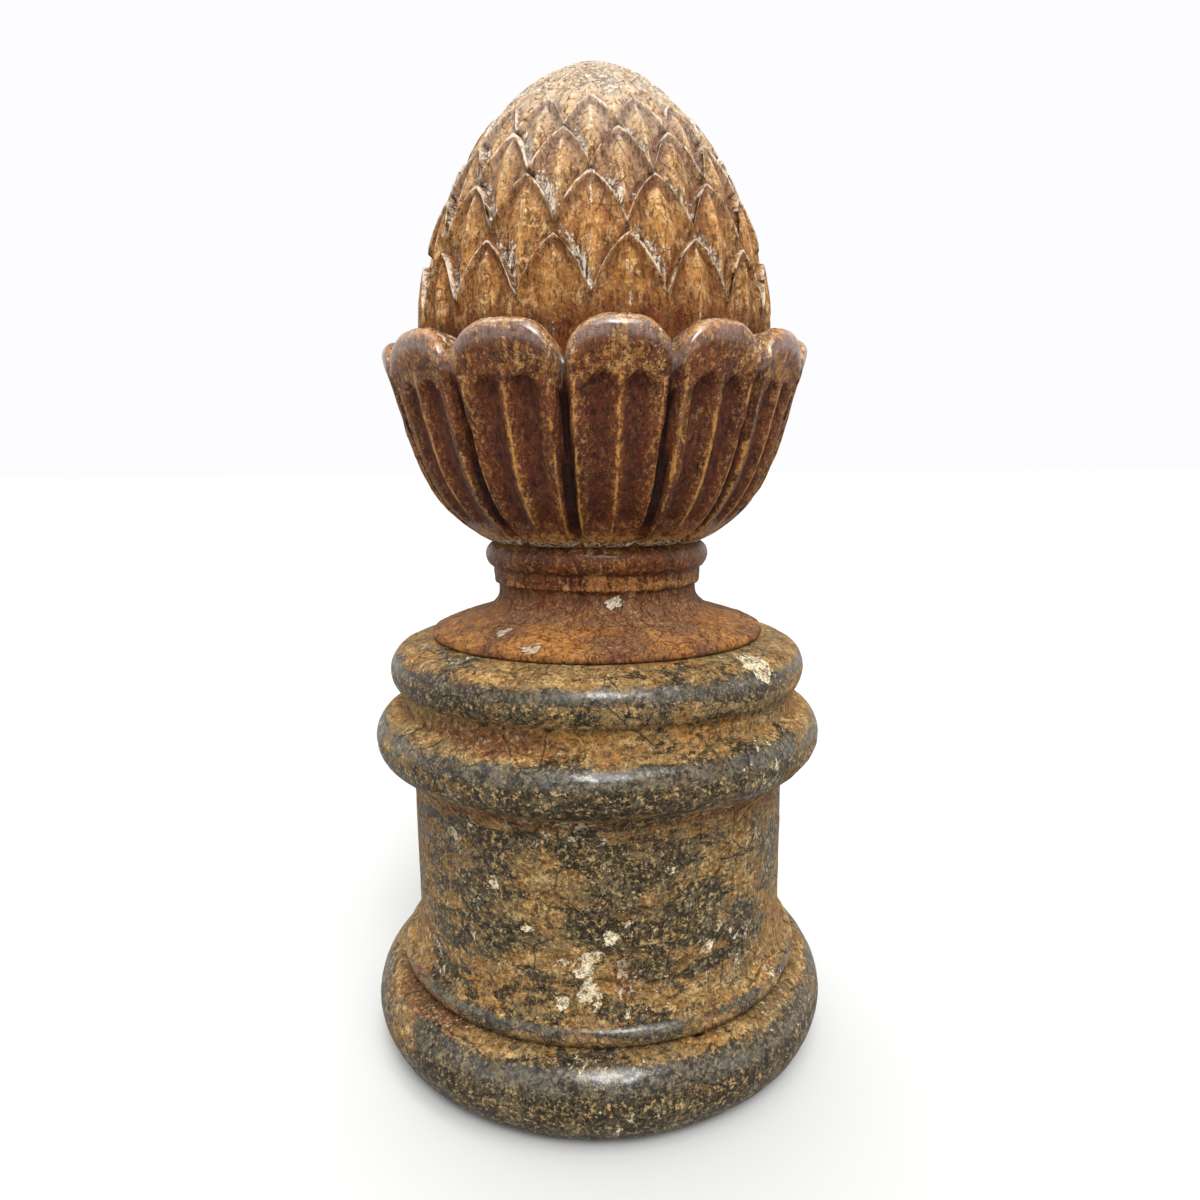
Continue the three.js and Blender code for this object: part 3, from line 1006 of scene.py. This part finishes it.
class Graph:
    """A new material and its nodes."""

    def __init__(self, name: str) -> None:
        """Makes an empty material.

        Args:
            name: The material's name.
        """
        self.material = bpy.data.materials.new(name)
        self.material.use_nodes = True
        self.nodes = self.material.node_tree.nodes
        self.nodes.clear()
        self.place = self.node("ShaderNodeTexCoord").outputs["Object"]

    def node(self, kind: str, settings: dict | None = None, inputs: dict | None = None) -> Any:
        """Adds a node.

        Args:
            kind: The node's type.
            settings: Its own settings, set first.
            inputs: Values or links, by socket name or number.

        Returns:
            The new node.
        """
        node = self.nodes.new(kind)
        for key, value in (settings or {}).items():
            setattr(node, key, value)
        for key, value in (inputs or {}).items():
            value = value.socket if isinstance(value, Sum) else value
            if isinstance(value, bpy.types.NodeSocket):
                self.material.node_tree.links.new(value, node.inputs[key])
            else:
                node.inputs[key].default_value = value
        return node

    def marks(self, *names: str) -> list[Sum]:
        """Reads some of the mesh's marks."""
        nodes = [self.node("ShaderNodeAttribute", {"attribute_name": name}) for name in names]
        return [Sum(self, node.outputs["Fac"]) for node in nodes]

    def height(self) -> Sum:
        """Gives the height above the ground, in metres."""
        return Sum(self, self.node("ShaderNodeSeparateXYZ", {}, {0: self.place}).outputs["Z"])

    def stretched(self, *scale: float) -> Any:
        """Gives the place with each axis scaled, so that a pattern runs long or short along it."""
        return self.node("ShaderNodeMapping", {}, {"Vector": self.place, "Scale": scale}).outputs[0]

    def clouds(
        self, size: float, detail: float = 5, rough: float = 0.6, bend: float = 0, at: Any = None
    ) -> Sum:
        """Gives cloudy noise from 0 to 1.

        Args:
            size: The size of its largest clouds in millimetres.
            detail: How many finer layers it has.
            rough: How strong those are.
            bend: How far it is warped.
            at: Where it is read, the object's own coordinates if not given.

        Returns:
            The noise's value.
        """
        inputs = {"Vector": at or self.place, "Scale": 1 / (size * MM), "Detail": detail}
        inputs |= {"Roughness": rough, "Distortion": bend}
        return Sum(self, self.node(Pattern.CLOUDS.value, {}, inputs).outputs[0])

    def uneven(self, *grain: Any) -> Sum:
        """Gives cloudy noise that swings to either side of 0, from the same values as clouds."""
        return self.clouds(*grain) - MIDDLE

    def cracks(self, size: float, warp: float, low: float, high: float) -> Sum:
        """Gives a net of cracks.

        Args:
            size: The size of the cells between cracks in millimetres.
            warp: How far clouds bend the net, in millimetres.
            low: How far from its middle a crack starts to fade, as a share of a cell.
            high: Where it has faded away.

        Returns:
            1 on a crack and 0 away from it.
        """
        scale = 1 / (size * MM)
        cloud = {"Vector": self.place, "Scale": scale, "Detail": 4.0}
        shift = {0: self.node(Pattern.CLOUDS.value, {}, cloud).outputs[1], "Scale": warp * MM}
        shift = self.node("ShaderNodeVectorMath", {"operation": "SCALE"}, shift).outputs[0]
        bent = self.node("ShaderNodeVectorMath", {"operation": "ADD"}, {0: self.place, 1: shift})
        inputs = {"Vector": bent.outputs[0], "Scale": scale}
        cells = self.node(Pattern.CELLS.value, {"feature": "DISTANCE_TO_EDGE"}, inputs)
        return 1 - Sum(self, cells.outputs[0]).ease(low, high)

    def layered(self, below: Any, *coats: tuple[Any, Any]) -> Any:
        """Lays colours one over another.

        Args:
            below: The lowest colour, as a web colour or a link.
            coats: Each colour above it and how much that covers, from 0 to 1.

        Returns:
            The mixed colour's socket.
        """
        settings = {"data_type": "RGBA", "blend_type": "MIX", "clamp_factor": True}
        for above, cover in coats:
            low, high = (colour(c) if isinstance(c, str) else c for c in (below, above))
            below = self.node("ShaderNodeMix", settings, {0: cover, 6: low, 7: high}).outputs[2]
        return below

    def finish(
        self, base: Any, roughness: Any, relief: Any, depth: float, coat: Any = 0.0
    ) -> bpy.types.Material:
        """Joins colour, roughness and relief in one shader.

        Args:
            base: The colour.
            roughness: How rough the surface is.
            relief: Height from 0 to 1 for the fine bump.
            depth: The bump's height in millimetres.
            coat: How much thin varnish lies over it.

        Returns:
            The finished material.
        """
        bumps = {"Strength": 1.0, "Distance": depth * MM, "Height": relief}
        inputs = {
            "Base Color": base,
            "Roughness": roughness,
            "Normal": self.node("ShaderNodeBump", {}, bumps).outputs[0],
            "Specular IOR Level": 0.15,
            "Coat Weight": coat,
            "Coat Roughness": 0.22,
            "Coat IOR": 1.5,
        }
        shader = self.node("ShaderNodeBsdfPrincipled", {}, inputs)
        self.node("ShaderNodeOutputMaterial", {}, {"Surface": shader.outputs[0]})
        return self.material


class Finish:
    """A finish of the object's own surfaces."""

    def material(self) -> bpy.types.Material:
        """Makes the finish's material."""
        raise NotImplementedError


@dataclass(frozen=True)
class PlinthFinish(Finish):
    """Dark olive-grey paint worn through to ochre and a cream ground; painted shade and sheen."""

    ground: str = "#dccdab"
    ochre_pale: str = "#c09f69"
    ochre: str = "#866539"
    ochre_deep: str = "#593d1e"
    orange: str = "#97642a"
    rust: str = "#5c2d18"
    olive: str = "#4a3d26"
    dark: str = "#1a140b"
    drab: str = "#6b5f45"
    slate: str = "#292c28"
    sheen_grey: str = "#8a887e"
    black: str = "#080603"
    relief: float = 1.0

    def material(self) -> bpy.types.Material:
        """Lays ochre over the ground, dark paint over that, then painted sheen, dust, painted
        shade, chips and specks.

        Returns:
            The plinth's material.
        """
        g = Graph("worn_plinth_paint")
        paint, hollow, bare, gloss, red = g.marks("paint", "hollow", "bare", "gloss", "red")
        level = g.stretched(0.5, 0.5, 1.2)
        broad = g.uneven(34, 3, 0.5, 0.4)
        patches = g.uneven(12, 9, 0.7, 0.3, level)
        speckle = g.uneven(3.6, 7, 0.74, 0.2)
        grit = g.uneven(1.4, 4, 0.7)
        worn = (1 - paint).ease(0.35, 0.85)
        pale = (g.clouds(6, 8, 0.74, 0.5, level) + grit * 0.4).ease(0.5, 0.58)
        warm = worn * g.clouds(18, 6, 0.7, 0.3, level).ease(0.42, 0.6)
        stained = (red + patches * 2.0 + speckle).ease(0.35, 0.6)
        ochre = g.layered(
            self.ochre_deep,
            (self.ochre, (speckle + patches * 0.9).ease(-0.2, 0.04)),
            (self.ochre_pale, pale * 0.75),
            (self.orange, warm * 0.6),
            (self.drab, g.clouds(15, 7, 0.74, 0.5, level).ease(0.48, 0.6) * 0.55),
            (self.rust, g.clouds(30, 5, 0.65, 0.4).ease(0.6, 0.67).larger(stained) * 0.75),
        )
        coat = g.layered(
            self.dark,
            (self.olive, (speckle + grit * 0.8).ease(-0.06, 0.1)),
            (self.slate, g.clouds(22, 7, 0.72).ease(0.44, 0.56) * (0.15 + gloss * 0.6)),
        )
        ragged = (patches * 4.4 + speckle * 1.7 + grit * 0.5) * (1 - gloss * 0.6)
        cover = (paint - red * 0.3 + broad * 1.5 + ragged).ease(0.43, 0.53)
        # Where polished, this lays a pale grey painted sheen that stands for a reflection, and also
        # sets the real varnish.
        polish = gloss * (patches * 3.0 + speckle * 2.0 + grit * 2.0 + 0.4).ease(0.0, 0.9)
        scum = (g.clouds(9, 8, 0.76, 0.4) + grit * 0.4).ease(0.5, 0.56) * (1 - worn * 0.5)
        dust = (g.clouds(2.6, 6, 0.76) + grit * 0.6).ease(0.545, 0.59)
        fine = g.cracks(5, 4, 0.01, 0.05) * g.clouds(14, 6, 0.7).ease(0.5, 0.6)
        cracks = g.cracks(17, 10, 0.008, 0.03) * g.clouds(26, 3).ease(0.46, 0.54)
        cracks = cracks.larger(fine * 0.7)
        # Painted shade in the hollows and creases, joined with the real cracks.
        deep = (hollow * g.clouds(7, 8, 0.76).ease(0.34, 0.54)).larger(cracks * 0.75)
        flecks = (g.clouds(5.0, 9, 0.8, 0.4) + broad * 0.3 - paint * 0.04).ease(0.585, 0.61)
        broken = (bare * 0.7 + patches * 2.6 + speckle * 4.0 + grit * 2.0).ease(0.46, 0.56)
        chips = flecks.larger(broken * bare.ease(0.02, 0.3))
        pits = (g.clouds(2.0, 7, 0.76) + grit * 0.4).ease(0.54, 0.59)
        base = g.layered(
            ochre,
            (coat, cover * 0.97),
            (self.sheen_grey, polish * 0.2),
            (self.drab, scum * 0.55),
            (self.ochre_pale, dust * (0.45 + paint * 0.2 - gloss * 0.55)),
            (self.black, deep * 0.8),
            (self.ground, chips * (0.85 - red * 0.5)),
            (self.black, pits * (0.45 + cover * 0.3 - gloss * 0.5)),
        )
        rough = 0.78 - cover * 0.3 - gloss * 0.2 + chips * 0.1
        relief = cover * 0.4 + speckle * 1.3 + grit * 1.0
        relief = relief - chips * 0.25 - pits * 0.6 - cracks * 0.6
        varnish = gloss * (polish * 0.9 + 0.3) * (1 - chips) + cover * 0.04
        return g.finish(base, rough, relief, self.relief, varnish)


@dataclass(frozen=True)
class FinialFinish(Finish):
    """Brown varnish over ochre clay, worn pale along edges and greyed towards the top; painted
    shade and highlight.
    """

    bone: str = "#d5c7b4"
    lime: str = "#bfae95"
    highlight_pearl: str = "#c4b2a6"
    ochre_pale: str = "#e0bb86"
    ochre: str = "#ad8048"
    orange: str = "#a4672f"
    gold: str = "#ab7a3a"
    umber: str = "#5a3b20"
    brown: str = "#5b270e"
    wine: str = "#3b1107"
    madder: str = "#5f402d"
    hazel: str = "#70441f"
    slate: str = "#7c7e80"
    black: str = "#0a0604"
    relief: float = 1.0
    foot_span: Span = (0.195, 0.213)
    edge_span: Span = (0.2165, 0.2205)
    cup_span: Span = (0.2387, 0.2417)
    heel_span: Span = (0.2457, 0.2657)
    tip_span: Span = (0.357, 0.445)

    def material(self) -> bpy.types.Material:
        """Lays browns by height, and painted shade by depth, then pale edges, lime in the notches,
        pits and a painted highlight.

        Returns:
            The finial's material.
        """
        g = Graph("worn_finial_paint")
        paint, hollow, rim = g.marks("paint", "hollow", "rim")
        bare, gloss, upper = g.marks("bare", "gloss", "upper")
        up, lower = g.height(), 1 - upper
        tall = g.stretched(1.0, 1.0, 0.35)
        broad = g.uneven(34, 3, 0.55, 0.4)
        patches = g.uneven(11, 9, 0.72, 0.3, tall)
        speckle = g.uneven(3.2, 7, 0.76, 0.2)
        fibres = g.uneven(3.0, 6, 0.7, 0.3, tall)
        grit = g.uneven(1.3, 4, 0.7)
        sunk = 1 - up.ease(*self.foot_span)
        foot = 1 - up.ease(*self.edge_span)
        heel = up.ease(*self.cup_span) * lower * (1 - up.ease(*self.heel_span))
        old = up.ease(*self.tip_span)
        pale = (g.clouds(4.2, 8, 0.76, 0.3) + grit * 0.4).ease(0.5, 0.57)
        streaks = (g.clouds(7.5, 8, 0.74, 0.5, tall) + hollow * 0.12).ease(0.5, 0.62)
        skin = g.layered(
            self.madder,
            (self.orange, (broad * 2.4 + patches * 1.5 + sunk * 0.45 + 0.1).ease(0.2, 0.9)),
            (self.gold, sunk * (broad * 2.0 + patches * 2.0 + 0.45).ease(0.3, 0.8) * 0.9),
        )
        clay = g.layered(
            self.umber,
            (self.ochre, (patches * 0.9 + fibres * 0.9 + grit * 0.3).ease(-0.2, 0.04)),
            (self.ochre_pale, pale * 0.85),
            (self.orange, (1 - old) * g.clouds(20, 5, 0.65).ease(0.4, 0.6) * 0.5),
            (self.umber, streaks * upper * (0.55 - old * 0.25)),
            (self.lime, old * (patches * 2.4 + fibres * 1.6 + 0.65).ease(0.25, 0.85)),
            # Painted shade: blue-grey in the hollows near the top.
            (self.slate, old * hollow.ease(0.1, 0.7) * 0.7),
            (self.bone, old * old * (speckle * 2.0 + grit * 1.5 + 0.6).ease(0.4, 0.8) * 0.6),
            (self.hazel, lower * (1 - foot) * (0.5 - gloss * 0.25)),
            (self.gold, heel * (patches * 2.0 + speckle * 2.0 + 0.6).ease(0.3, 0.8) * 0.9),
            (skin, foot * (0.94 - (speckle + grit).ease(0.02, 0.14) * 0.3)),
        )
        stain = g.layered(
            self.brown,
            (self.wine, (g.clouds(12, 7, 0.7, 0.3, tall) + grit * 0.4).ease(0.42, 0.56)),
            (self.hazel, (g.clouds(6, 8, 0.74, 0.4, tall) + grit * 0.3).ease(0.52, 0.6) * 0.55),
        )
        left = paint + broad * 0.9 + patches * 2.8 + speckle * 2.2 - rim * 0.5
        varnished = left.ease(0.42, 0.5) * lower * (1 - foot * 0.4)
        cover = varnished + left.ease(0.2, 0.7) * upper * 0.5
        # Painted shade: the hollow mark turns the hollows wine and brown, and the deepest ones
        # black.
        shade = hollow * (0.6 + g.clouds(5, 7, 0.74).ease(0.36, 0.58) * 0.4)
        deepest_shade = hollow.ease(0.84, 1.0) * lower * g.clouds(7, 6, 0.7).ease(0.3, 0.5)
        dust = (g.clouds(2.6, 6, 0.76) + grit * 0.6).ease(0.55, 0.6)
        edges = (rim + speckle * 1.8 + patches * 1.0 + grit * 0.6).ease(0.42, 0.7)
        chipped = bare.ease(0.02, 0.3)
        lime = (bare + speckle * 3.0 + patches * 1.5 + grit * 2.0).ease(0.46, 0.66) * chipped
        pits = (g.clouds(1.7, 7, 0.76, 0.2, tall) + grit * 0.3 + bare * 0.05).ease(0.545, 0.6)
        pitted = 0.6 - foot * 0.15 - gloss * 0.3 - upper * 0.12 + bare * 0.5
        cracks = g.cracks(9, 7, 0.006, 0.028) * (g.clouds(22, 3) + foot * 0.12).ease(0.5, 0.6)
        broken = (bare * 0.7 + speckle * 3.5 + patches * 2.0).ease(0.42, 0.56)
        flecks = g.clouds(4.4, 9, 0.82, 0.5).ease(0.655, 0.685).larger(broken * foot * chipped)
        # Painted highlight: pale patches on the polished varnish of the lips, standing for a
        # reflection.
        sheen = (patches * 3.0 + broad * 1.5 + grit * 1.5 + 0.4).ease(0.0, 0.9)
        base = g.layered(
            clay,
            (stain, cover * 0.92),
            (self.wine, shade * lower * 0.94),
            (self.brown, shade * upper * 0.75),
            (self.black, deepest_shade * 0.75),
            (self.gold, dust * (1 - hollow) * (1 - gloss) * (0.6 - foot * 0.4)),
            (self.gold, edges * lower * 0.9),
            (self.bone, edges * upper * 0.7),
            (self.bone, lime * 0.8),
            (self.black, pits * pitted * (1 - old * 0.5)),
            (self.brown, cracks * (0.65 + foot * 0.2)),
            (self.lime, flecks * 0.7),
            (self.highlight_pearl, gloss.ease(0.5, 0.95) * sheen * lower * 0.22),
        )
        rough = 0.78 - cover * 0.3 - gloss * 0.15 + upper * 0.1 + hollow * 0.1
        relief = speckle * 1.2 + fibres * 0.5 + grit * 0.9
        relief = relief - pits * 0.6 - cracks * 0.5 + lime * 0.4
        relief = relief * (1 - foot * 0.25 - upper * 0.15)
        return g.finish(base, rough, relief, self.relief, gloss * lower * 0.9)


@dataclass(frozen=True)
class FloorFinish(Finish):
    """A plain pale floor with the faintest unevenness."""

    tint: str = "#a7a7a6"
    mottle: str = "#a9a9a8"
    rough: float = 0.9
    relief: float = 0.02

    def material(self) -> bpy.types.Material:
        """Makes a matt pale colour.

        Returns:
            The floor's material.
        """
        g = Graph("pale_floor")
        base = g.layered(self.tint, (self.mottle, g.clouds(300, 2, 0.5)))
        return g.finish(base, self.rough, g.clouds(5, 2, 0.5), self.relief)


@dataclass
class Studio:
    """The pale floor, the soft lights and the camera."""

    floor_half: float = 40.0
    lens: float = 26.0
    sensor: float = 36.0
    eye: tuple[float, float, float] = (0.0016, -0.4163, 0.2728)
    pitch: float = 8.64
    roll: float = -0.45

    def floor(self) -> None:
        """Lays the floor under the part."""
        half = self.floor_half
        mesh = bpy.data.meshes.new("floor")
        corners = [(-half, -half, 0), (half, -half, 0), (half, half, 0), (-half, half, 0)]
        mesh.from_pydata(corners, [], [(0, 1, 2, 3)])
        mesh.materials.append(FloorFinish().material())
        floor = bpy.data.objects.new("floor", mesh)
        bpy.context.scene.collection.objects.link(floor)

    def light(self, name: str, place: Sequence[float], spread: float, power: float) -> None:
        """Hangs a broad soft light far off.

        Args:
            name: The light's name.
            place: The direction it shines from.
            spread: How broad it looks from the part, in degrees.
            power: Its strength.
        """
        lamp = bpy.data.lights.new(name, "SUN")
        lamp.angle = math.radians(spread)
        lamp.energy = power
        holder = bpy.data.objects.new(name, lamp)
        holder.rotation_euler = (-Vector(place)).to_track_quat("-Z", "Y").to_euler()
        bpy.context.scene.collection.objects.link(holder)

    def air(self, tint: str, strength: float) -> None:
        """Sets the even light from all round.

        Args:
            tint: Its web colour.
            strength: Its strength.
        """
        world = bpy.data.worlds.new("studio_air")
        world.use_nodes = True
        back = world.node_tree.nodes["Background"]
        back.inputs["Color"].default_value = colour(tint)
        back.inputs["Strength"].default_value = strength
        bpy.context.scene.world = world

    def camera(self) -> None:
        """Places the camera where the photo was taken from, looking a little down."""
        data = bpy.data.cameras.new("camera")
        data.lens = self.lens
        data.sensor_width = self.sensor
        data.clip_start = 0.01
        camera = bpy.data.objects.new("camera", data)
        tilt = Euler((math.radians(90 - self.pitch), 0, 0)).to_matrix()
        turn = Euler((0, 0, math.radians(self.roll))).to_matrix()
        camera.matrix_world = (tilt @ turn).to_4x4()
        camera.location = self.eye
        bpy.context.scene.collection.objects.link(camera)
        bpy.context.scene.camera = camera

    def build(self) -> None:
        """Sets up the floor, lights and camera."""
        self.floor()
        self.air("#fdfdff", 1.0)
        self.light("front", (0.25, -0.85, 1.5), 40, 2.8)
        self.light("glint", (0.08, -0.85, 0.95), 22, 2.5)
        self.light("back", (-0.1, 0.4, 1.2), 44, 1.8)
        self.camera()
        bpy.context.scene.view_settings.view_transform = "Standard"


def main() -> None:
    """Builds the studio, the plinth and the finial in order, and logs each piece's face count."""
    logging.basicConfig(level=logging.INFO)
    Studio().build()
    for part in (Plinth(), Finial()):
        piece = part.build()
        log.info("%s: %d faces", piece.name, len(piece.data.polygons))


if __name__ == "__main__":
    main()
